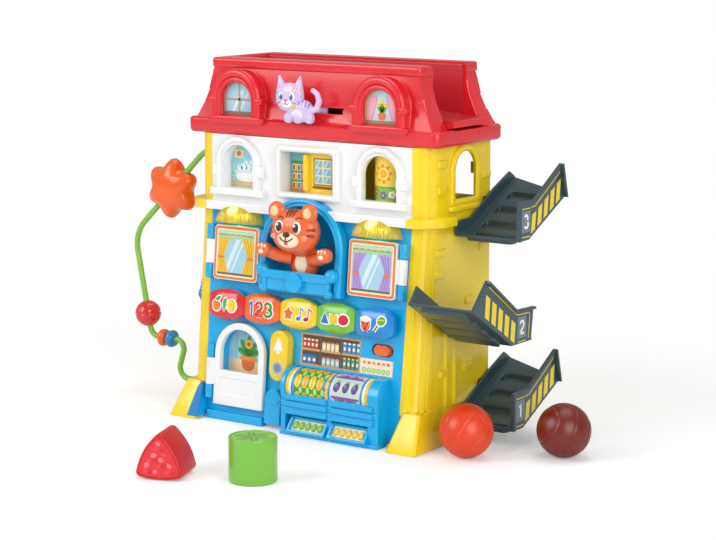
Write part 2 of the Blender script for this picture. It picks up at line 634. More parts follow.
def shelfPrint():
    place = leaning(0)
    x, v = shelfPicture["middle"]
    w, h = shelfPicture["size"]
    layers = [patch(roundRect(x, v, w - 0.4, h - 0.4, 0.3), place, 0, shelfPicture["wood"])]
    layers += [patch(roundRect(x, v + up, w - 4, 12.6, 0.6), place, 1, shelfPicture["shade"])
               for up in (7.4, -7.4)]
    layers += [patch(roundRect(d, v, 1.6, h - 2, 0.2), place, 2, "#75594a") for d in shelfPicture["dividers"]]

    def jars(start, pitch, count, base, width, height, colour, lid):
        for k in range(count):
            middle = start + pitch * k
            layers.append(patch(roundRect(middle, base + height / 2, width, height, 0.8), place, 3, colour))
            layers.append(patch(roundRect(middle, base + height, width * 0.8, 1.7, 0.3), place, 4, lid))
            tag = roundRect(middle, base + height * 0.45, width * 0.6, height * 0.34, 0.3)
            layers.append(patch(tag, place, 4, shelfPicture["tag"]))
    top, low = (b + 0.9 for b in shelfPicture["boards"])
    jars(3, 4.6, 4, top, 3.8, 8.4, "#cf3a2c", "#f2e6c8")
    jars(25.5, 5, 4, top, 4, 7.6, "#efdfae", "#b5793a")
    jars(49.5, 5.2, 4, top, 4, 9.2, "#3c8fc8", "#e9f3f6")
    jars(3.4, 5.6, 3, low, 4.8, 8.6, "#2f7fc0", "#1c5c94")
    jars(25.8, 5.2, 4, low, 4.2, 7.4, "#9fd3e6", "#e8663a")
    jars(49.8, 4.9, 4, low, 3.4, 9.4, "#2f9c92", "#f3c84a")
    layers.append(patch(roundRect(*shelfPicture["strip"], 0.3), place, 0, "#f3e9cf"))
    start, pitch, count = shelfPicture["greens"]
    for k in range(count):
        spot = start + pitch * k
        layers += [patch(ellipse(spot, 69, 2.4), place, 1, "#9cc873"),
                   patch(ellipse(spot, 69, 1.3), place, 2, "#d5eaa6"),
                   patch(roundRect(spot, 76, 3.4, 2.6, 0.5), place, 1, shelfPicture["signs"][k % 2])]
    label("shelf_picture", layers, "house")


shelfPrint()
print("front labels printed")

# Printed roller in the counter: colour rings, and produce on its two halves
rollerPrint = {"axis": (-73, 45), "radius": 16.8, "ends": (-4.5, 90), "rows": 6, "yellow": "#f3c928",
               "blue": "#1f86cc", "corn": ("#f7d52e", "#f3b92a"), "violet": "#8d55a6",
               "plums": (("#4b2f78", "#9a7cc4"), ("#c9a6dc", "#efe2f5"))}


def onRoller(u, w, h):
    # w runs round the roller from its front, upwards
    y, z = rollerPrint["axis"]
    a = w / rollerPrint["radius"]
    r = rollerPrint["radius"] + h
    return stack(u, y - r * np.cos(a), z + r * np.sin(a))


def rollerLabels():
    around = 2 * math.pi * rollerPrint["radius"]
    w = np.linspace(0, around, 73)

    def ring(x0, x1, layer, colour):
        return ribbon(np.stack([0 * w + x0, w], -1), np.stack([0 * w + x1, w], -1), onRoller, layer, colour)
    left, right = rollerPrint["ends"]
    layers = [ring(left + 0.2, right - 0.2, 0, "#f4efe0")]
    layers += [ring(x, x + 3.4, 1, rollerPrint["yellow"]) for x in (left + 0.4, 41.2, right - 3.8)]
    layers += [ring(x, x + 2.4, 1, rollerPrint["blue"]) for x in (left + 6.4, 38.8, 44.6, right - 8.8)]
    pitch = around / rollerPrint["rows"]
    layers += [ring(4.6, 38.6, 1, "#2f9c46"), ring(47.4, right - 9, 1, "#c9dcd8")]
    for k in range(rollerPrint["rows"]):
        middle = pitch * (k + 0.5)
        for n in range(4):
            x = 8.8 + 8.5 * n
            layers.append(patch(ellipse(x, middle, 3.5, 6.9), onRoller, 2, rollerPrint["corn"][n % 2], 4))
            layers.append(line(densePath([[x, middle - 5], [x, middle + 5]], 8), 0.7, onRoller, 3, "#d98f1f"))
            layers.append(patch(ellipse(x + 4.2, middle + pitch / 2, 1.9, 3.3), onRoller, 2, "#bfe06a", 3))
        if k % 2:
            field = roundRect(64.2, middle, 32.6, pitch - 1.2, 1.2)
            layers.append(patch(field, onRoller, 2, rollerPrint["violet"], 6))
        skin, gleam = rollerPrint["plums"][k % 2]
        for n in range(3):
            x = 54 + 10.2 * n
            layers += [patch(ellipse(x, middle - 0.6, 3.6, 5, -14), onRoller, 3, skin, 3),
                       patch(ellipse(x - 1, middle + 1, 0.9, 1.8, -14), onRoller, 4, gleam, 2),
                       patch(ellipse(x + 0.6, middle + 4.6, 2.1, 1, 15), onRoller, 4, "#6fae3e", 2)]
    label("roller_labels", layers, "roller")


rollerLabels()

# Crates below the counter: shallow trays of rounds
crate = {"x": (0.5, 47.5), "y": -92, "z": 1.5, "tilt": 52, "floor": 3, "inner": (38, 12), "rim": 2.5,
         "rounds": 5, "pitch": 7.1}


def onCrate(start):
    c, s = math.cos(math.radians(crate["tilt"])), math.sin(math.radians(crate["tilt"]))

    def place(u, w, h):
        n = crate["floor"] + h
        return stack(start + u, crate["y"] + w * c - n * s, crate["z"] + w * s + n * c)
    return place


def crateGoods(name, start, base, colour, light):
    place = onCrate(start)
    wide, deep = crate["inner"]
    u, w = crate["rim"] + wide / 2, crate["rim"] + deep / 2
    layers = [patch(roundRect(u, w, wide - 0.6, deep - 0.6, 0.6), place, 0, base)]
    for k in range(crate["rounds"]):
        x = u + crate["pitch"] * (k - (crate["rounds"] - 1) / 2)
        layers.append((pad(ellipse(x, w, 3.2, 4.3), place, 1.7), linear(colour)))
        layers.append((pad(ellipse(x, w, 1.6, 3.4), place, 1.9), linear(light)))
    label(name, layers, "house")


crateGoods("greens_crate", crate["x"][0], "#e8e4c4", "#7dbb45", "#a9d36a")
crateGoods("lemons_crate", crate["x"][1], "#f3eccb", "#f2c733", "#f8df7a")

# Pictures behind the upper windows
upperPictures = {"y": -46.1, "windowX": 83, "sill": 226.5, "roomZ": 246.75, "joint": "#d5f0f4",
                 "bubbles": ((-8, 17.6, 3.2), (-3, 19, 3.8), (2.6, 18, 3.4), (7.6, 17.2, 2.7),
                             (-0.6, 23.4, 2.2), (5, 24, 1.7)),
                 "books": ("#d2402f", "#f2c12e", "#2f7fc0", "#e9823a")}


def bathPrint():
    place = upright(upperPictures["y"], -upperPictures["windowX"], upperPictures["sill"])
    layers = [patch(archOutline(0, 0.6, 37.4, 40.6), place, 0, "#9bd6e2", 3, (0, 20))]
    tiles = [[[-18.4, z], [18.4, z]] for z in (10, 16, 22)] + [[[x, 4], [x, 22]] for x in range(-15, 16, 5)]
    layers += [line(densePath(edge, 6), 0.6, place, 1, upperPictures["joint"]) for edge in tiles]
    layers.append(patch(roundRect(0, 3, 37, 4.6, 0.4), place, 1, "#e7c48c"))
    layers.append(patch(softPolygon([[-14, 15], [14, 15], [12, 5], [-12, 5]], 2), place, 3, "#fbfcfc"))
    layers.append(patch(roundRect(0, 14.6, 30, 2.6, 1.2), place, 4, "#dfe8ea"))
    for x, z, r in upperPictures["bubbles"]:
        layers.append(patch(ellipse(x, z, r), place, 2, "#f6fdff"))
        layers.append(patch(ellipse(x - r * 0.3, z + r * 0.3, r * 0.35), place, 3, "#bfe8f2"))
    layers.append(patch(roundRect(-9, 32, 11, 8, 1), place, 2, "#f6e7bd"))
    layers.append(patch(ellipse(-9, 32, 2.6), place, 3, "#e8803a"))
    label("bath_picture", layers, "house")


def roomPrint():
    place = upright(upperPictures["y"], 0, upperPictures["roomZ"])
    layers = [patch(roundRect(0, 0, 60, 43.6, 0.4), place, 0, "#7cc3cf"),
              patch(roundRect(0, -16, 60, 11, 0.3), place, 1, "#d59a58"),
              patch(roundRect(-21, -3.5, 15, 26, 0.6), place, 2, "#5a9c52")]
    for z in (-14, -5.5, 3):
        layers.append(patch(roundRect(-21, z, 12.6, 6.6, 0.4), place, 3, "#e9f0d0"))
        for k, colour in enumerate(upperPictures["books"]):
            layers.append(patch(roundRect(-25.4 + 3 * k, z - 0.2, 2.3, 5 + (k % 2), 0.2), place, 4, colour))
    layers.append(patch(ellipse(-10, 8, 4.4), place, 2, "#fbe9b0"))
    layers.append(patch(ellipse(-10, 8, 3.2), place, 3, "#f0b23a"))
    layers.append(patch(softPolygon([[-14, -9], [-7, -9], [-8, -15], [-13, -15]], 1), place, 3, "#d0562c"))
    layers += [patch(ellipse(-10.5 + x, -6 + z, 1.8, 4.2, t), place, 2, "#3f8f45")
               for x, z, t in ((-3, 0, 30), (0, 1.4, 0), (3, 0, -30))]
    label("room_picture", layers, "house")


bathPrint()
roomPrint()

# Sliding shutter: a small printed casement on the yellow leaf
shutterPrint = {"y": -54.1, "x": 14.5, "z": 246.75}


def shutterLabel():
    place = upright(shutterPrint["y"], shutterPrint["x"], shutterPrint["z"])
    layers = [patch(roundRect(0, 1.5, 22, 26, 0.8), place, 0, "#a9621f"),
              patch(roundRect(0, 1.5, 19.4, 23.4, 0.5), place, 1, "#f6df9a")]
    for x in (-4.9, 4.9):
        for z in (-6, 1.5, 9):
            layers.append(patch(roundRect(x, z, 8, 6.2, 0.4), place, 2, "#7fb9d0"))
            layers.append(shine([x - 3, z - 2.4], [x, z + 2.4], 1.4, place, 3, "#c9e6ef"))
    layers.append(patch(roundRect(0, -13.4, 24, 2.6, 0.5), place, 2, "#8a4f18"))
    label("shutter_print", layers, "shutter")


shutterLabel()

# Picture drum: suns and flowers round a yellow field
drumPrint = {"x": 83, "y": -36.1, "radius": 18, "z": 226.5, "suns": 4, "sunAt": 25, "amber": "#f4b52c",
             "flowers": ((-9, 8, "#e0463a"), (9, 6, "#f7f1e2"), (0, 5, "#7a5ab0"))}


def onDrum(u, w, h):
    # u runs round the drum from its front, to the right
    d = drumPrint
    a = u / d["radius"]
    r = d["radius"] + h
    return stack(d["x"] + r * np.sin(a), d["y"] - r * np.cos(a), d["z"] + w)


def drumLabel():
    around = 2 * math.pi * drumPrint["radius"]
    u = np.linspace(0, around, 73)

    def field(z0, z1, layer, colour):
        return ribbon(np.stack([u, 0 * u + z0], -1), np.stack([u, 0 * u + z1], -1), onDrum, layer, colour)
    layers = [field(0.4, 40.6, 0, "#f6d44a"), field(0.6, 12, 1, "#7fbf4f"), field(12, 13, 1, "#4f9a3c")]
    rays = ellipse(0, 0, 1, count=32) * np.tile([9.2, 9.2, 6.6, 6.6], 8)[:, None]
    for k in range(drumPrint["suns"]):
        x = around * k / drumPrint["suns"]
        sun = (x, drumPrint["sunAt"])
        layers.append(patch(rays + sun, onDrum, 1, "#ee8a2a", 4))
        layers.append(patch(ellipse(*sun, 6), onDrum, 2, "#fbe36a", 4))
        layers.append(patch(ellipse(*sun, 4), onDrum, 3, drumPrint["amber"], 4))
        for dx, z, colour in drumPrint["flowers"]:
            petals = ellipse(x + dx, z, 2.1, count=5)
            layers += [patch(ellipse(*petal, 1.6), onDrum, 2, colour, 2) for petal in petals]
            layers.append(patch(ellipse(x + dx, z, 1.3), onDrum, 3, drumPrint["amber"], 2))
    label("drum_print", layers, "drum")


drumLabel()

# Dormer windows: panes on the left, a curtain and a plant on the right
dormerPrint = {"x": 83, "y": -56.0, "z": 297.2, "size": (39, 34), "bars": "#b3a596", "pane": 16.6,
               "arch": 14.5}


def leftDormer():
    width, height = dormerPrint["size"]
    bars = dormerPrint["bars"]
    place = upright(dormerPrint["y"], -dormerPrint["x"], dormerPrint["z"])
    layers = [patch(archOutline(0, 0.3, width - 0.6, height - 0.6), place, 0, bars, 3, (0, 14)),
              patch(archOutline(0, 3, width - 6, height - 6), place, 1, "#a9d7e8", 3, (0, 14))]
    layers += [shine([a - 8, 3.4], [a + 4, 24], b, place, 2, "#d9f0f6") for a, b in ((-2, 4), (7, 2))]
    layers.append(line(densePath([[0, 2], [0, height - 2]], 6), 2.4, place, 3, bars))
    layers.append(line(densePath([[-width / 2 + 2, 15], [width / 2 - 2, 15]], 6), 2.4, place, 3, bars))
    layers.append(patch(roundRect(0, 2, width - 2, 3, 0.6), place, 4, "#8f8172"))
    label("left_dormer_print", layers, "house")


def rightDormer():
    width, height = dormerPrint["size"]
    place = upright(dormerPrint["y"], dormerPrint["x"], dormerPrint["z"])
    layers = [patch(archOutline(0, 0.3, width - 0.6, height - 0.6), place, 0, "#c9b391", 3, (0, 14)),
              patch(archOutline(0, 2.6, width - 5, height - 5), place, 1, "#bfe3ee", 3, (0, 14))]
    z = np.linspace(3, 26, 14)
    # a curtain's outer edge follows the pane, straight and then along its arch
    above = np.clip(z - dormerPrint["arch"], 0, None)
    bulge = np.sqrt(np.clip(dormerPrint["pane"] ** 2 - above ** 2, 4, None))
    for s in (-1, 1):
        outer = np.stack([s * bulge, z], -1)
        inner = np.stack([s * (5 + 6 * ((26 - z) / 23) ** 1.6), z], -1)
        layers.append(ribbon(outer, inner, place, 2, "#f0b7c4"))
        layers.append(line(inner * [1.12, 1], 0.7, place, 3, "#d98599"))
    layers.append(patch(softPolygon([[-5, 11], [5, 11], [3.6, 4], [-3.6, 4]], 1), place, 4, "#e8803a"))
    layers += [patch(ellipse(2.6 * k, 15.5 - 0.6 * k * k, 2, 5, -22 * k), place, 3, "#5aa648")
               for k in (-1, 0, 1)]
    layers += [patch(ellipse(x, z, 2), place, 5, "#f6d13c") for x, z in ((-3.6, 18), (0, 21), (3.6, 18))]
    layers.append(patch(roundRect(0, 2, width - 2, 3, 0.6), place, 4, "#a98f6c"))
    label("right_dormer_print", layers, "house")


leftDormer()
rightDormer()

# Ramps: yellow hazard stripes and a number on the outer wall
rampPrint = {"x": 207.0, "ink": "#efd330", "plate": "#6f7f86", "number": "#f4f6f4", "plateSize": (15.4, 20),
             "border": 0.9, "stripes": 5, "pitch": 11.2, "wide": 7.2, "lean": 3.2, "span": (0.13, 0.7)}


def numberPlate(number, u, w, place):
    # a grey plate with its digit
    return [patch(roundRect(u, w, *rampPrint["plateSize"], 0.6), place, 0, rampPrint["plate"]),
            line(digits[number] * 1.15 + [u, w], 2.3, place, 1, rampPrint["number"])]


def border(points, count, place):
    return line(densePath(points, count), rampPrint["border"], place, 1, rampPrint["ink"])


def hazardStripes(place, start, low, high):
    # leaning bars that fill a share of the height between the lower and the upper edge
    r = rampPrint
    bars = []
    for k in range(r["stripes"]):
        a = start + r["pitch"] * k
        sides = [[[u + r["lean"] * f, low(u) + f * (high(u + r["lean"]) - low(u))] for f in r["span"]]
                 for u in (a, a + r["wide"])]
        bars.append(ribbon(*sides, place, 0, r["ink"]))
    return bars


def fallingRampPrint(name, y, z, number):
    place = rightWall(rampPrint["x"], y, z)

    def low(a):
        return np.maximum(0, (a - 19) * 0.5)

    def high(a):
        return np.where(a < 28, 32, 32 + (a - 28) * 0.59)
    layers = numberPlate(number, 13.2, 17.4, place)
    layers += [border([[6, h], [20.4, h]], 4, place) for h in (3.4, 29.4)]
    layers.append(border([[22, 29.8], [28.6, 30.2], [74, 57.2]], 20, place))
    layers += hazardStripes(place, 21.6, low, high)
    label(name, layers, "house")


def middleRampPrint(name, y, z, number):
    place = rightWall(rampPrint["x"], y, z)

    def low(a):
        return -a * 41.5 / 69

    def high(a):
        return 23 - (a - 25) * 0.69
    layers = numberPlate(number, 86, -26.4, place)
    layers.append(border([[79, -39.4], [93, -39.4]], 4, place))
    layers.append(border([[97.6, -38], [100.2, -14.6], [77.4, -14], [27.5, 19.2]], 30, place))
    layers += hazardStripes(place, 20.4, low, high)
    label(name, layers, "house")


fallingRampPrint("upper_ramp_print", -18, 194, 3)
fallingRampPrint("lower_ramp_print", -24, 18.5, 1)
middleRampPrint("middle_ramp_print", -96, 141, 2)

# Blocks: a bowed triangle with a speckled face, and a leaf on the round one
blocks = {"triangleAt": (-2, -268), "turn": 20, "half": 20, "corner": 4.5, "bow": (1.9, 2.6, 2.6),
          "corners": ((-17, 6.4), (17, 6.4), (0, 36.5)), "rows": 6, "face": "#e2303a",
          "flakes": ("#e9434f", "#e23a22", "#ee7480", "#dc2432"), "roundAt": (71.5, -238), "floor": 39}


def onTriangle(u, w, h):
    # u across and w up on the front face, h out of it
    c, s = math.cos(math.radians(blocks["turn"])), math.sin(math.radians(blocks["turn"]))
    y = -blocks["half"] - h
    return stack(blocks["triangleAt"][0] + u * c - y * s, blocks["triangleAt"][1] + u * s + y * c, w)


def bowedTriangle():
    # each side swells by a parabola between its two round corners
    spots = np.array(blocks["corners"], float)
    t = np.linspace(0, 1, 18)[:, None]
    sides = []
    for k in range(3):
        start, end = spots[k], spots[(k + 1) % 3]
        way = (end - start) / np.linalg.norm(end - start)
        out = np.array([way[1], -way[0]])
        swell = blocks["corner"] + blocks["bow"][k] * 4 * t * (1 - t)
        sides.append(start + t * (end - start) + out * swell)
        turn = math.degrees(math.atan2(out[1], out[0]))
        sides.append(arc(*end, blocks["corner"], blocks["corner"], turn + 14, turn + 106, 8))
    return np.concatenate(sides)


def triangleBody():
    outline = bowedTriangle()
    middle = outline.mean(0)
    # rows run from the front face round its edge, along the block and over the back
    shrink = np.array([0, 0.5, 0.86, 0.93, 0.98, 1, 1, 0.98, 0.93, 0.86, 0])
    depth = np.array([0, 0, 0, -0.2, -0.9, -2.4, -37.6, -39.1, -39.8, -40, -40])
    ring = middle + shrink[:, None, None] * (outline - middle)
    grid = onTriangle(ring[..., 0], ring[..., 1], depth[:, None])
    piece("triangle_body", [grid], blockRed, "triangle_block", replaced=("triangle_block",),
          crease=50)


def triangleLabel():
    outline = bowedTriangle()
    middle = outline.mean(0)
    layers = [patch(middle + 0.84 * (outline - middle), onTriangle, 0, blocks["face"], 3, middle)]
    # flakes: five-cornered patches whose corners wander by a sine of their number
    for row in range(blocks["rows"]):
        z = 8 + 4.9 * row
        count = blocks["rows"] - row
        for k in range(count):
            number = 7 * row + k
            q = np.radians(72 * np.arange(5) + 31 * number)
            reach = 2.7 + 1.1 * np.sin(2.1 * number + 1.7 * np.arange(5))
            x = (k - (count - 1) / 2) * 5.2 + 0.8 * math.sin(3.1 * number)
            flake = np.stack([x + reach * np.cos(q), z + reach * np.sin(q)], -1)
            ink = (3 * number + row) % 4
            layers.append(patch(flake, onTriangle, 1 + ink, blocks["flakes"][ink]))
    label("triangle_print", layers, "triangle_block")


def roundLabel():
    place = flat(*blocks["roundAt"], blocks["floor"])
    layers = [patch(ellipse(0, 0, 18.7), place, 0, "#8fce52")]
    for q in np.radians(60 * np.arange(6) + 15):
        tip = np.array([math.cos(q), math.sin(q)])
        layers.append(patch(ellipse(*(tip * 9.4), 7.6, 3.6, math.degrees(q)), place, 1, "#5da63a"))
        layers.append(line(densePath([tip * 3, tip * 15.6], 6), 0.8, place, 2, "#b6e07c"))
    label("round_print", layers, "round_block")


triangleBody()
triangleLabel()
roundLabel()
print("other labels printed")

# Cub in the niche: rounded body, face and paws of a plain design
cubFigure = {"head": (0, 193, 20), "headHalf": (26, 21, 14), "headPower": 2.2, "ear": (19, 211, 26),
             "earHalf": (9.2, 9.2, 4.8), "neck": ((0, 179, 10), (12, 11, 11)),
             "trunk": ((0, 164, 3), (16, 17, 7)), "paw": (35, 172.5, 20.5), "pawHalf": (7.8, 7, 6.8),
             "arm": ((12, 7, 166), (25, 13.6, 168)), "armRadius": (6.6, 5.8),
             "stem": ((0, 4, 160), (0, -11.9, 160)), "stemRadius": 4.9,
             "muzzle": ((0, 185.6, 31), (12.6, 8.4, 4.6)), "nose": ((0, 189.8, 35), (4, 2.7, 1.8)),
             "belly": ((0, 163, 6.6), (10, 12, 4)), "tongue": ((0, 182.2, 34.6), (2.6, 1.7, 1)),
             "cream": "#fbe6c4", "dark": "#4a2318", "mark": "#8a3f18"}


def cubBody():
    c = cubFigure
    place = leaning(0)
    x, v, out = c["paw"]
    grids = [blob(place, c["head"], c["headHalf"], c["headPower"], 30, 48), blob(place, *c["neck"]),
             blob(place, *c["trunk"], 2.2)]
    for s in (-1, 1):
        mirror = np.array([s, 1, 1])
        grids += [blob(place, mirror * c["ear"], c["earHalf"]),
                  blob(place, (s * x, v, out), c["pawHalf"], 2.3)]
        arm = densePath([*(mirror * c["arm"]), [s * x, out, v]], 14)
        grids.append(tube(onFront(*arm.T), np.linspace(*c["armRadius"], 14)))
    grids.append(tube(onFront(*densePath(c["stem"], 6).T), c["stemRadius"]))
    piece("cub_body", grids, cubOrange, "cub", replaced=("cub",))


def onHead(x, v, lift=0.0):
    # height of the head's skin above the panel at a spot of its face
    _, v0, out = cubFigure["head"]
    a, c, b = cubFigure["headHalf"]
    power = cubFigure["headPower"]
    spread = (np.abs(x) / a) ** power + (np.abs(v - v0) / c) ** power
    return out + b * np.clip(1 - spread, 0, 1) ** (1 / power) + lift


def onMuzzle(x, v):
    # the same on the muzzle, an ellipsoid, and a little above it
    (_, v0, out), (a, c, b) = cubFigure["muzzle"]
    return out + b * np.sqrt(np.clip(1 - ((x / a) ** 2 + ((v - v0) / c) ** 2), 0, 1)) + 0.15


def cubFace():
    place = leaning(0)
    cream, dark, mark = (cubFigure[k] for k in ("cream", "dark", "mark"))

    def spot(x, v, half, colour, lift=0.0):
        return egg(place, (x, v, onHead(x, v, lift)), half, colour)

    def band(points, width):
        across, up = densePath(points, 14).T
        return tube(onFront(across, onHead(across, up, 0.2), up), width, 8), linear(mark)
    x, v, out = cubFigure["paw"]
    taper = np.linspace(1.6, 0.5, 14)
    t = np.linspace(0, 1, 14)
    parts = [egg(place, *cubFigure[name], colour) for name, colour in
             (("muzzle", cream), ("nose", dark), ("belly", cream), ("tongue", "#d8453c"))]
    for s in (-1, 1):
        parts += [egg(place, (s * 19, 211, 28.6), (5.6, 5.6, 2.8), "#f9cf9a"),
                  spot(s * 10.2, 197, (4.8, 5.8, 1.5), "#fbfaf6"),
                  spot(s * 9.8, 196.8, (3.5, 4.6, 1.5), dark, 0.7),
                  spot(s * 9.8 - 1.1, 198.8, (1.2, 1.4, 0.6), "#ffffff", 2.1),
                  spot(s * 17.6, 187.6, (3.8, 2.8, 1.2), "#f49a86"),
                  band([[s * 7, 205], [s * 10.4, 206.6], [s * 14, 205.4]], 0.7),
                  band([[s * 25, 196], [s * 19.6, 195.4]], taper),
                  band([[s * 24.6, 190], [s * 20, 190.6]], taper)]
        # half a smile: straight down from the nose, then a parabola outwards
        across = np.append([0, 0], s * 7.6 * t)
        up = np.append([188, 186], 183.6 + 3.6 * t ** 2)
        parts.append((tube(onFront(across, onMuzzle(across, up), up), 0.6, 8), linear(dark)))
        parts += [egg(place, (s * x + 3.5 * k, v + 4.1 - 0.6 * abs(k), out + 5), (1.5, 2, 1), cream)
                  for k in (-1, 0, 1)]
        parts.append(egg(place, (s * x, v - 1, out + 5.9), (3.3, 2.5, 1.2), cream))
    parts += [band([[x, 213], [0.8 * x, 206]], np.linspace(1.5, 0.5, 14)) for x in (-4, 0, 4)]
    label("cub_face", parts, "cub")


cubBody()
cubFace()

# Cat slider on the roof, with the stub that runs in the slot
catFigure = {"middle": -65, "head": (-15, 318.2, 1), "headHalf": (15.6, 13.8, 6.6),
             "trunk": ((-3.6, 306, 0.4), (15.2, 10.8, 5.6), 2.4),
             "stub": ((5.4, 306.2, -12.7), (4, 2.2, 8.7), 9.0), "feet": ((-15, 3), (-4, 3), (7, 0)),
             "footHalf": (4.6, 5.2, 4.4), "ears": ((-24, -27.4), (-6, -2.6)),
             "tail": ((8, 306, 0), (15.4, 309, 0), (18.2, 316, 0), (16, 322.6, 0), (11.6, 325.4, 0)),
             "band": "#9f84c8"}


def catBody():
    c = catFigure
    place = upright(c["middle"])

    def along(points, count):
        return place(*densePath(points, count).T)
    grids = [blob(place, c["head"], c["headHalf"], 2.3, 26, 40), blob(place, *c["trunk"]),
             blob(place, *c["stub"])]
    grids += [blob(place, (x, 299.4, h), c["footHalf"], 2.5) for x, h in c["feet"]]
    for base, tip in c["ears"]:
        ear = [[base, 324, 1], [(base + tip) / 2, 332, 1], [tip, 338.4, 1]]
        grids.append(tube(along(ear, 12), np.linspace(6.2, 0.9, 12)))
    grids.append(tube(along(c["tail"], 24), np.linspace(3.4, 2.4, 24)))
    grids.append(blob(place, (11.4, 325.4, 0), (2.5, 2.5, 2.5)))
    piece("cat_figure", grids, catLilac, "cat", replaced=("cat",))


def catFace():
    # measured from the middle of the head
    place = upright(catFigure["middle"], catFigure["head"][0])

    def hair(points, width, colour, count=8, cols=8):
        return tube(place(*densePath(points, count).T), width, cols), linear(colour)
    parts = [egg(place, (0, 313, 6.2), (6.4, 4.2, 2.1), "#fbf4fb"),
             egg(place, (0, 315.6, 8), (1.8, 1.2, 0.7), "#e0688f"),
             egg(place, (11.4, 304, 4.2), (8, 6, 2.2), "#efe4f7"),
             egg(place, (7.6, 309.6, 5.8), (2.2, 2.2, 0.9), "#f2c12e")]
    for s in (-1, 1):
        parts += [egg(place, (s * 6.2, 319.6, 6.8), (3.1, 3.9, 1), "#fdfdfb"),
                  egg(place, (s * 6, 319.2, 7.5), (2, 2.9, 0.8), "#3d5f8f"),
                  egg(place, (s * 6 - 0.6, 320.6, 8.2), (0.7, 0.9, 0.4), "#ffffff"),
                  egg(place, (s * 11, 314, 5.5), (2.3, 1.7, 0.9), "#f2a9c4")]
        ear = [[s * 9, 326.4, 4.6], [s * 10.6, 334, 2.2]]
        parts.append(hair(ear, np.linspace(2.8, 0.6, 8), "#f0b3cf", cols=14))
        mouth = [[0, 314.4, 8.2], [s * 0.3, 312.7, 8.4], [s * 1.8, 311.9, 8.2], [s * 3.5, 313.1, 7.9]]
        parts.append(hair(mouth, 0.32, "#7a4a78", 10))
        for z in (312.4, 314.4):
            whisker = [[s * 7, 313.4, 6.8], [s * 16.4, z + 0.6 * (z - 313.4), 5.2]]
            parts.append(hair(whisker, 0.26, "#8a76b4", 6, 6))
        for k in (0, 1):
            band = [[s * (14.8 - k), 320 + 4 * k, 2.6], [s * (11.6 - k), 320.6 + 4 * k, 5.2]]
            parts.append(hair(band, np.linspace(1.2, 0.4, 8), catFigure["band"]))
    for k, x in enumerate((16.4, 20, 23.6)):
        band = [[x, 316 - 1.2 * k, 2.2], [x + 0.4, 311.6 - k, 5.2]]
        parts.append(hair(band, np.linspace(1.2, 0.5, 8), catFigure["band"]))
    label("cat_face", parts, "cat")


catBody()
catFace()

# Beads on the wire: a pillowy star, a ribbed bead and two rounds
beads = {"depth": -15, "star": (-202.8, 212.9), "starReach": 27.2, "starLobe": 3.8, "lobes": 6,
         "starTurn": 24, "starHalf": 14.5, "red": (-238.8, 79.6), "redAxis": (0.1908, 0, -0.9816),
         "redHalf": 13.4, "groove": (0.7, 0.8), "smallX": (-217.9, -207.1), "smallZ": 56.15,
         "smallHalf": (8.8, 8.8, 5.3)}


def starBead():
    # six lobes in the outline that die out towards the crown of the pillow
    b = beads
    t, p = angles(73, 144)
    lobe = np.cos(b["lobes"] * (p - math.radians(b["starTurn"])))
    reach = b["starReach"] * np.cos(t) ** 0.75 + b["starLobe"] * lobe * np.cos(t) ** 2.2
    swell = b["starHalf"] * np.sin(t) * np.ones_like(p)
    star = stack(b["star"][0] + reach * np.cos(p), b["depth"] + swell, b["star"][1] + reach * np.sin(p))
    piece("star_pillow", [star], starOrange, "star_bead", replaced=("star_bead",),
          crease=80)


def ribbedBead():
    # a ball with a groove round its middle and two through its poles, each a bell curve of the distance to it
    b = beads
    t, p = angles(73, 144)
    axis = np.array(b["redAxis"])
    side = np.array([0, 1, 0])
    over = np.cross(axis, side)
    ends, cross, up = np.sin(t) * np.ones_like(p), np.cos(t) * np.cos(p), np.cos(t) * np.sin(p)
    near = np.min(np.abs([ends, cross, up]), axis=0) * b["redHalf"]
    skin = (b["redHalf"] - b["groove"][0] * np.exp(-(near / b["groove"][1]) ** 2))[..., None]
    way = ends[..., None] * axis + cross[..., None] * side + up[..., None] * over
    ribbed = np.array([b["red"][0], b["depth"], b["red"][1]]) + skin * way
    piece("ribbed_bead", [ribbed], keyRed, "red_bead", replaced=("red_bead",), crease=80)


def smallBead(name, x, finish):
    place = rightWall(x, beads["depth"], beads["smallZ"])
    bead = blob(place, (0, 0, 0), beads["smallHalf"], 2.3, 24, 40)
    piece(name + "_round", [bead], finish, name, replaced=(name,), crease=80)


starBead()
ribbedBead()
smallBead("orange_bead", beads["smallX"][0], keyOrange)
smallBead("blue_bead", beads["smallX"][1], keyBlue)

# Balls: moulded seams of a sports ball, cut into the skin
balls = {"radius": 25, "depth": 0.6, "width": 0.75, "oval": 52, "red_ball": ((183, -66), (20, 35, 10)),
         "brown_ball": ((255, -14), (-28, 20, 48))}


def seamedBall(name, finish):
    (x, y), turns = balls[name]
    t, p = angles(161, 320)
    way = stack(np.cos(t) * np.cos(p), np.cos(t) * np.sin(p), np.sin(t) * np.ones_like(p))
    turned = way @ np.array(Euler([math.radians(a) for a in turns]).to_matrix())
    # distance on the skin to two great circles and to a pair of ovals
    a, b, c = np.moveaxis(turned, -1, 0)
    oval = np.abs(a) - math.cos(math.radians(balls["oval"])) - 0.25 * c ** 2
    near = np.min(np.abs([a, b, oval]), axis=0) * balls["radius"]
    skin = balls["radius"] - balls["depth"] * np.exp(-(near / balls["width"]) ** 2)
    piece(name + "_skin", [np.array([x, y, balls["radius"]]) + skin[..., None] * way], finish, name,
          replaced=(name,), crease=80)


seamedBall("red_ball", ballOrange)
seamedBall("brown_ball", ballBrown)

# Lamp domes: ribbed half eggs over the sashes
domes = {"x": 81, "v": 193, "half": (27, 20.5, 20), "base": 194, "back": 0.8, "thick": 1.6, "ribs": 40,
         "rib": 0.02}


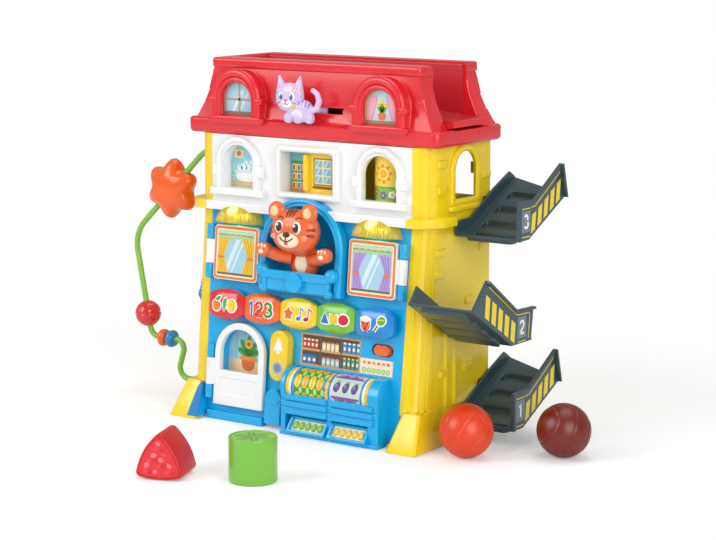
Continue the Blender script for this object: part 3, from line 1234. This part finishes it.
def lampDomes():
    d = domes
    a = np.linspace(-math.pi / 2, math.pi / 2, 185)[:, None]
    t = np.linspace(0, 1, 17)
    w = (d["base"] - d["v"]) + np.concatenate([t, t[::-1]])[None, :] * (d["half"][2] - d["base"] + d["v"])
    girth = np.sqrt(np.clip(1 - (w / d["half"][2]) ** 2, 0, 1))
    # the inner skin meets the outer one at both ends, so that the shell is closed
    inner = np.repeat([0.0, d["thick"]], 17)[None, :] * np.clip((math.pi / 2 - np.abs(a)) / 0.06, 0, 1)
    ribs = 1 + d["rib"] * np.cos(2 * d["ribs"] * a) * (inner == 0) * np.cos(a)
    across = np.maximum(d["half"][0] * girth * ribs - inner, 0) * np.sin(a)
    out = np.maximum(np.maximum(d["half"][1] * girth * ribs - inner, 0) * np.cos(a), d["back"])
    grids = [onFront(s * d["x"] + across, out, d["v"] + w) for s in (-1, 1)]
    piece("ribbed_domes", grids, domeAmber, "house", replaced=("light_domes",), crease=60)


lampDomes()

# Rolls: the thick rounded mouldings round windows, dormers and niche
rolls = {"windowX": 83, "frameY": -60.4, "arch": (221.5, 45, 52.6), "archRoll": 3.3,
         "ledge": (223.2, (32, 3.7, 3.6)), "lug": (24.6, 243.4, (6, 5.8, 4)),
         "room": (0, 246.75, 66.4, 45, 2.5), "roomRoll": 2.9, "dormerY": -61.2, "dormerZ": 292.6,
         "dormer": ((51, 45.6, 4.2, 0), (42.2, 39.4, 2.5, 0.6)), "dormerLedge": (293.4, (33.4, 3.6, 4.4)),
         "dormerLug": (27.4, 311.4, (5, 3.4, 4.8)), "nicheV": 134,
         "niche": ((90.4, 86.6, 3.2, 9.4), (84.6, 83, 2.1, 10.2))}


def archPath(x, base, w, h):
    over = arc(x, base + h - w / 2, w / 2, w / 2, 180, 0, 40)
    return densePath(np.concatenate([[[x - w / 2, base]], over, [[x + w / 2, base]]]), 72)


def closedPath(outline, count=96):
    return densePath(np.concatenate([outline, outline[:1]]), count)


def rolled(path, place, out, radius):
    # a round roll along a path on a face
    return tube(place(path[:, 0], path[:, 1], np.full(len(path), float(out))), radius)


def windowRolls():
    place = upright(rolls["frameY"])
    sill, sillHalf = rolls["ledge"]
    lugX, lugZ, lugHalf = rolls["lug"]
    grids = [rolled(closedPath(roundRect(*rolls["room"])), place, 0, rolls["roomRoll"])]
    for x in (-rolls["windowX"], rolls["windowX"]):
        grids.append(rolled(archPath(x, *rolls["arch"]), place, 0, rolls["archRoll"]))
        grids.append(blob(place, (x, sill, 0.4), sillHalf, 4.0))
        grids += [blob(place, (x + q * lugX, lugZ, -1), lugHalf, 4.5) for q in (-1, 1)]
    piece("window_rolls", grids, whiteAbs, "house", crease=60)


def dormerRolls():
    place = upright(rolls["dormerY"])
    sill, sillHalf = rolls["dormerLedge"]
    lugX, lugZ, lugHalf = rolls["dormerLug"]
    grids = []
    for x in (-rolls["windowX"], rolls["windowX"]):
        grids += [rolled(archPath(x, rolls["dormerZ"], w, h), place, out, r)
                  for w, h, r, out in rolls["dormer"]]
        grids.append(blob(place, (x, sill, 0.8), sillHalf, 4.0))
        grids += [blob(place, (x + q * lugX, lugZ, -0.4), lugHalf, 4.0) for q in (-1, 1)]
    piece("dormer_rolls", grids, redAbs, "house", crease=60)


def nicheRolls():
    grids = [rolled(archPath(0, rolls["nicheV"], w, h), leaning(0), out, r)
             for w, h, r, out in rolls["niche"]]
    piece("niche_rolls", grids, blueAbs, "house", crease=60)


windowRolls()
dormerRolls()
nicheRolls()

# Right end of the roof: cheeks beside the channel and a lip under the end of its floor
roofEnd = {"middle": -1, "cheekY": (29.4, 30.9), "lipY": 28.6,
           "cheek": ((119, 293.4), (136.6, 293.4), (129.4, 307.2), (124, 320.2), (119, 341.8)),
           "lip": ((112, 293.3), (143.8, 293.3), (143.8, 300), (142.4, 301), (112, 302.4))}


def slab(outline, place, low, high):
    # flat plate between two heights over an outline
    outline = np.array(outline, float)
    middle = np.repeat(outline.mean(0)[None], len(outline), 0)
    rows = np.array([middle, outline, outline, middle])
    return place(rows[..., 0], rows[..., 1], np.array([low, low, high, high])[:, None])


def closeRoofEnd():
    e = roofEnd
    place = upright(e["middle"])
    grids = [slab(e["cheek"], place, s * e["cheekY"][0], s * e["cheekY"][1]) for s in (-1, 1)]
    grids.append(slab(softPolygon(e["lip"], 1), place, -e["lipY"], e["lipY"]))
    piece("roof_end", grids, redAbs, "house")


closeRoofEnd()

# Blue trim: balls on the balcony, boards on the counter, caps on its axle, and a skirt on the left foot
blueTrim = {"skirt": ((-118.6, 33.6), (-121, 29), (-122.4, 14), (-123.2, 2.6), (-110.2, 2.6), (-116.2, 33.6)),
            "footFace": (-94, 0.559), "balls": ((40.5, 153.4, 15, 7.0), (38, 136.2, 15.4, 4.2)),
            "boss": (-73, 45, 4.2), "cheeks": ((101.6, 1), (-9.6, -1)),
            "boards": {"face": -90, "x": (19.7, 72.3), "z": (23.2, 30.35, 37), "size": (48.6, 5),
                       "thick": 1.5},
            "wing": ((-111.4, -93, 2.6), (-111.4, -74, 2.6), (-117.4, -72.4, 33.4), (-117.4, -74.6, 33.4))}


def frontTrim():
    grids = [blob(leaning(0), (s * x, v, out), (r, r, r), 2.0, 24, 36) for s in (-1, 1)
             for x, v, out, r in blueTrim["balls"]]
    corners = np.array(blueTrim["wing"])
    ring = np.array([corners, corners + [1.4, 0, 0]])
    ends = [np.repeat(side.mean(0)[None], 4, 0) for side in ring]
    grids.append(np.array([ends[0], ring[0], ring[1], ends[1]]))
    # blind bosses over the ends of the roller's axle
    y, z, r = blueTrim["boss"]
    grids += [pad(ellipse(y, z, r), lambda u, w, h, x=x, way=way: stack(x + way * h, u, w), 0.9, 5)
              for x, way in blueTrim["cheeks"]]
    # two panels of three boards across the front of the counter
    b = blueTrim["boards"]
    grids += [slab(roundRect(x, z, *b["size"], 0.5), upright(b["face"]), -0.3, b["thick"])
              for x in b["x"] for z in b["z"]]
    piece("blue_trim", grids, blueAbs, "house")
    y, rise = blueTrim["footFace"]
    skirt = slab(blueTrim["skirt"], lambda u, w, h: stack(u, y + rise * w - h, w), -0.3, 1.1)
    piece("foot_skirt", [skirt], skirtBlue, "house")


frontTrim()

# Right wall: a soft frame round the side window and pillowed bricks
wallRelief = {"face": 136.5, "window": (2.5, 223.9, 44, 51), "roll": (3.8, 0.62),
              "sill": (2.5, 218.6, 54, 5.6), "sillThick": 3.4, "brick": (15.8, 7.8), "brickThick": 1.5,
              "spots": ((-36, 262), (40, 246), (-36, 238), (-38, 180), (-40, 160), (36, 178), (-32, 66),
                        (12, 130), (34, 120), (36, 96), (10, 66), (37, 30))}


def rightRelief():
    place = rightWall(wallRelief["face"])
    path = closedPath(archOutline(*wallRelief["window"]), 110)
    wide, flatness = wallRelief["roll"]
    roll = tube(stack(path[:, 0], path[:, 1], 0.4), wide)
    grids = [place(roll[..., 0], roll[..., 1], flatness * roll[..., 2]),
             pad(roundRect(*wallRelief["sill"], 2.5), place, wallRelief["sillThick"], 9)]
    grids += [pad(roundRect(*spot, *wallRelief["brick"], 1.6), place, wallRelief["brickThick"], 9)
              for spot in wallRelief["spots"]]
    piece("wall_relief", grids, yellowAbs, "house", crease=60)


rightRelief()
print("rounded pieces made")

# Rounded copies of the moulded shells: the same solid with its sharp edges broken by a small radius.
# Zones are boxes, low corner and high corner in millimetres, whose edges get a larger one first.
softEdges = {
    "angle": 34, "smooth": 36, "bend": 40, "shortest": 4,
    "split": ("roof", "lower_front", "left_side", "right_side"),
    "width": {
        "roof": 1.6, "upper_front": 0.9, "lower_front": 0.7, "niche": 1.2, "balcony": 1.2, "left_side": 0.7,
        "right_side": 0.7, "back_cover": 0.6, "base_plate": 0.6, "trough": 0.7, "counter": 0.8,
        "left_sash": 0.5, "right_sash": 0.5, "front_door": 1.0, "red_key": 1.2, "orange_key": 1.2,
        "yellow_key": 1.2, "green_key": 1.2, "blue_key": 1.2, "bell_button": 1.6, "shutter": 0.6,
        "switch_knob": 0.8, "upper_ramp": 0.7, "middle_ramp": 0.7, "lower_ramp": 0.7, "side_dial": 1.4,
        "battery_door": 0.5, "round_block": 1.0},
    "zones": {
        "roof": [((-150, -70, 278), (150, 60, 279), 4.0), ((-147, -60, 293), (147, 56, 293.5), 3.0),
                 ((-125, -55, 350), (125, 55, 352), 2.6)],
        "left_side": [((-147, -96, -1), (-108, -30, 36), 3.0), ((-145, -75, 34), (-115, -38, 281), 0)],
        "right_side": [((108, -96, -1), (147, -30, 36), 3.0), ((115, -75, 34), (145, -38, 281), 0)]}}


def edgeRuns(bm):
    # Sharp edges joined into runs that go on where the line bends by less than the limit. Each run is rounded
    # by itself, so that a crowded spot on one does not hold back the others.
    limit, bend = (math.radians(softEdges[k]) for k in ("angle", "bend"))
    left = {e for e in bm.edges if len(e.link_faces) == 2 and e.calc_face_angle(0) > limit}
    runs = []
    for seed in list(bm.edges):
        if seed not in left:
            continue
        left.discard(seed)
        run, todo = [seed], [seed]
        while todo:
            edge = todo.pop()
            for vert in edge.verts:
                way = (vert.co - edge.other_vert(vert).co).normalized()
                ahead = [n for n in vert.link_edges if n in left
                         and way.dot((n.other_vert(vert).co - vert.co).normalized()) > math.cos(bend)]
                left.difference_update(ahead)
                run += ahead
                todo += ahead
        runs.append((sum(e.calc_length() for e in run), run))
    return [run for length, run in sorted(runs, key=lambda r: -r[0]) if length > softEdges["shortest"] * mm]


def widthOf(name, run):
    # width of the zone that holds the whole run, 0 where the edge stays sharp, or nothing outside the zones
    for low, high, wide in softEdges["zones"].get(name, ()):
        if all(low[k] <= v.co[k] / mm <= high[k] for e in run for v in e.verts for k in range(3)):
            return wide
    return None


def softened(name, width):
    source = nodes[name].data.copy()
    for layer in ("custom_normal", "sharp_face", "sharp_edge"):
        if layer in source.attributes:
            source.attributes.remove(source.attributes[layer])
    bm = bmesh.new()
    bm.from_mesh(source)
    bpy.data.meshes.remove(source)
    bmesh.ops.remove_doubles(bm, verts=bm.verts, dist=3e-6)
    bmesh.ops.dissolve_limit(bm, angle_limit=math.radians(0.5), verts=bm.verts, edges=bm.edges)
    if name in softEdges["split"]:
        bmesh.ops.triangulate(bm, faces=[f for f in bm.faces if len(f.verts) > 4])
    for run in edgeRuns(bm):
        run = [e for e in run if e.is_valid]
        wide = widthOf(name, run)
        if run and wide != 0:
            bmesh.ops.bevel(bm, geom=run, offset=(wide or width) * mm, segments=4, profile=0.5,
                            affect="EDGES", clamp_overlap=wide is None, offset_type="OFFSET",
                            miter_outer="ARC", spread=0.1 * mm)
    mesh = bpy.data.meshes.new(name + "_soft")
    bm.to_mesh(mesh)
    bm.free()
    mesh.shade_smooth()
    mesh.set_sharp_from_angle(angle=math.radians(softEdges["smooth"]))
    made = bpy.data.objects.new(name + "_soft", mesh)
    bpy.context.scene.collection.objects.link(made)
    mesh.materials.append(finishOf(name))
    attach(made, bodyOf[name])
    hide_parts(name)


for name, width in softEdges["width"].items():
    softened(name, width)
print("shells rounded:", len(softEdges["width"]))

# Floor and light
studio = {"floorSize": 8.0, "below": 0.0004, "floorColour": "#f4f4f4", "lift": 0.22, "world": 0.42,
          "fade": (0.3, 0.62), "aim": (0, 0, 0.17)}


def makeFloor():
    half = studio["floorSize"] / 2
    mesh = bpy.data.meshes.new("floor")
    corners = [(-half, -half, 0), (half, -half, 0), (half, half, 0), (-half, half, 0)]
    mesh.from_pydata(corners, [], [(0, 1, 2, 3)])
    floor = bpy.data.objects.new("floor", mesh)
    floor.location.z = -studio["below"]
    bpy.context.scene.collection.objects.link(floor)
    made, tree = emptyMaterial("paperSweep")
    path = addNode(tree, "ShaderNodeLightPath")
    base = addNode(tree, "ShaderNodeBsdfDiffuse", None, {"Color": linear(studio["floorColour"])})
    lift = addNode(tree, "ShaderNodeMath", {"operation": "MULTIPLY"},
                   {0: path.outputs["Is Camera Ray"], 1: studio["lift"]})
    glow = addNode(tree, "ShaderNodeEmission", None, {"Strength": lift.outputs["Value"]})
    both = addNode(tree, "ShaderNodeAddShader", None, {0: base.outputs["BSDF"], 1: glow.outputs["Emission"]})
    # seen by the camera, the sweep turns to plain white away from the house
    place = addNode(tree, "ShaderNodeTexCoord").outputs["Object"]
    away = addNode(tree, "ShaderNodeVectorMath", {"operation": "LENGTH"}, {"Vector": place})
    turn = addNode(tree, "ShaderNodeMapRange", {"interpolation_type": "SMOOTHSTEP"},
                   {"Value": away.outputs["Value"], "From Min": studio["fade"][0],
                    "From Max": studio["fade"][1]})
    share = addNode(tree, "ShaderNodeMath", {"operation": "MULTIPLY"},
                    {0: turn.outputs["Result"], 1: path.outputs["Is Camera Ray"]})
    plain = addNode(tree, "ShaderNodeEmission", None, {"Strength": 1.0})
    sweep = addNode(tree, "ShaderNodeMixShader", None,
                    {0: share.outputs["Value"], 1: both.outputs["Shader"], 2: plain.outputs["Emission"]})
    addNode(tree, "ShaderNodeOutputMaterial", None, {"Surface": sweep.outputs["Shader"]})
    mesh.materials.append(made)


def makeWorld():
    # white to the camera and through clear plastic, and a plain even light for the rest
    world = bpy.data.worlds.new("studioWorld")
    bpy.context.scene.world = world
    world.use_nodes = True
    tree = world.node_tree
    tree.nodes.clear()
    path = addNode(tree, "ShaderNodeLightPath")
    seen = addNode(tree, "ShaderNodeMath", {"operation": "MAXIMUM"},
                   {0: path.outputs["Is Camera Ray"], 1: path.outputs["Is Transmission Ray"]})
    strength = addNode(tree, "ShaderNodeMapRange", None,
                       {"Value": seen.outputs["Value"], "To Min": studio["world"], "To Max": 1.0})
    sky = addNode(tree, "ShaderNodeBackground", None,
                  {"Color": (1, 1, 1, 1), "Strength": strength.outputs["Result"]})
    addNode(tree, "ShaderNodeOutputWorld", None, {"Surface": sky.outputs["Background"]})


lamps = {
    "keyLamp": {"at": (-1.3, -1.95, 1.45), "size": 1.5, "power": 28},
    "fillLamp": {"at": (2.1, -1.3, 1.0), "size": 1.6, "power": 30},
    "topLamp": {"at": (0.2, 0.3, 2.4), "size": 1.6, "power": 15}}


def makeLamps():
    for name, lamp in lamps.items():
        data = bpy.data.lights.new(name, "AREA")
        data.energy = lamp["power"]
        data.size = lamp["size"]
        light = bpy.data.objects.new(name, data)
        bpy.context.scene.collection.objects.link(light)
        light.location = lamp["at"]
        light.rotation_euler = (Vector(studio["aim"]) - light.location).to_track_quat("-Z", "Y").to_euler()


makeFloor()
makeWorld()
makeLamps()
bpy.context.scene.view_settings.view_transform = "Standard"
print("studio set")
